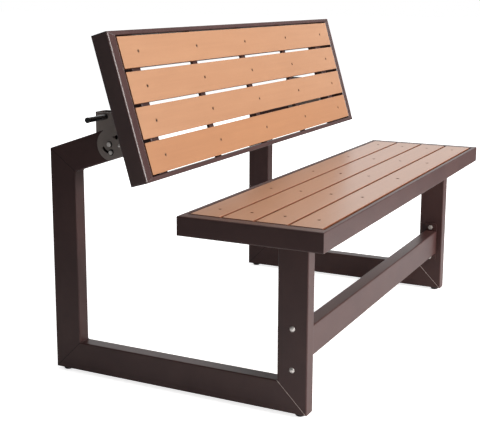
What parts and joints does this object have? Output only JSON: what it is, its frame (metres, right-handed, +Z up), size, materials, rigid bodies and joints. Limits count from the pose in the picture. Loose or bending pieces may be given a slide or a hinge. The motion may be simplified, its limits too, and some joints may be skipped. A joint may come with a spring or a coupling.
{
  "type": "convertible table bench",
  "caption": "Outdoor bench with a slatted seat and a slatted back that swings rearward on two pinned side hinges to lie flat as a table top, on tubular side frames tied by a low stretcher.",
  "frame": {"origin": "on the floor, midway between the two ends of the bench and midway between the seat's front edge and the rear faces of the rear posts", "axes": "+X along the bench, from the left side frame to the right one as seen by someone looking at its front; +Y from the front of the seat to the back; +Z up"},
  "size_m": [1.4, 0.804, 0.9128],
  "materials": {
    "frame_paint": "satin powder coat with a fine grain",
    "hinge_plate": "satin dark coat",
    "seat_boards": "matte with a fine grain",
    "panel_boards": "matte with a fine grain",
    "plated_steel": "bright plating",
    "screw_steel": "brown coated heads",
    "grip_plastic": "gloss",
    "black_plastic": "matte"
  },
  "bodies": {
    "base": {"arm_end_plugs": "black_plastic", "bottom_rail_left": "frame_paint", "bottom_rail_right": "frame_paint", "foot_glides": "black_plastic", "front_post_left": "frame_paint", "front_post_right": "frame_paint", "guide_bolts": "plated_steel", "guide_nuts": "plated_steel", "guide_washers": "black_plastic", "hinge_housing_left": "hinge_plate", "hinge_housing_right": "hinge_plate", "housing_rivets": "plated_steel", "pivot_bolts": "plated_steel", "pivot_nuts": "plated_steel", "pivot_sleeves": "plated_steel", "pivot_washers": "black_plastic", "rear_post_left": "frame_paint", "rear_post_right": "frame_paint", "seat_bearer_left": "frame_paint", "seat_bearer_right": "frame_paint", "seat_cross_bars": "frame_paint", "seat_end_tube_left": "frame_paint", "seat_end_tube_right": "frame_paint", "seat_front_rail": "frame_paint", "seat_rear_rail": "frame_paint", "seat_screws": "screw_steel", "seat_slat_1": "seat_boards", "seat_slat_2": "seat_boards", "seat_slat_3": "seat_boards", "seat_slat_4": "seat_boards", "stretcher": "frame_paint", "stretcher_bolts": "plated_steel", "stretcher_end_plates": "frame_paint", "stretcher_nuts": "plated_steel", "upper_arm_left": "frame_paint", "upper_arm_right": "frame_paint"},
    "panel": {"bracket_bolts": "plated_steel", "bracket_rivet_nuts": "plated_steel", "hinge_bracket_left": "hinge_plate", "hinge_bracket_right": "hinge_plate", "panel_bearer_left": "frame_paint", "panel_bearer_right": "frame_paint", "panel_cross_bars": "frame_paint", "panel_end_tube_left": "frame_paint", "panel_end_tube_right": "frame_paint", "panel_lower_rail": "frame_paint", "panel_screws": "screw_steel", "panel_slat_1": "panel_boards", "panel_slat_2": "panel_boards", "panel_slat_3": "panel_boards", "panel_slat_4": "panel_boards", "panel_upper_rail": "frame_paint"},
    "latch_left": {"latch_clip_left": "plated_steel", "latch_grip_left": "grip_plastic", "latch_pin_left": "plated_steel"},
    "latch_right": {"latch_clip_right": "plated_steel", "latch_grip_right": "grip_plastic", "latch_pin_right": "plated_steel"}
  },
  "joints": [
    {"name": "panel_swing", "type": "hinge", "parent": "base", "child": "panel", "pos_m": [0, 0.2132, 0.62807], "axis": [-1, 0, 0], "range_deg": [0, 73.5]},
    {"name": "latch_slide_left", "type": "slide", "parent": "base", "child": "latch_left", "axis": [1, 0, 0], "range_m": [0, 0.012]},
    {"name": "latch_slide_right", "type": "slide", "parent": "base", "child": "latch_right", "axis": [-1, 0, 0], "range_m": [0, 0.012]}
  ]
}
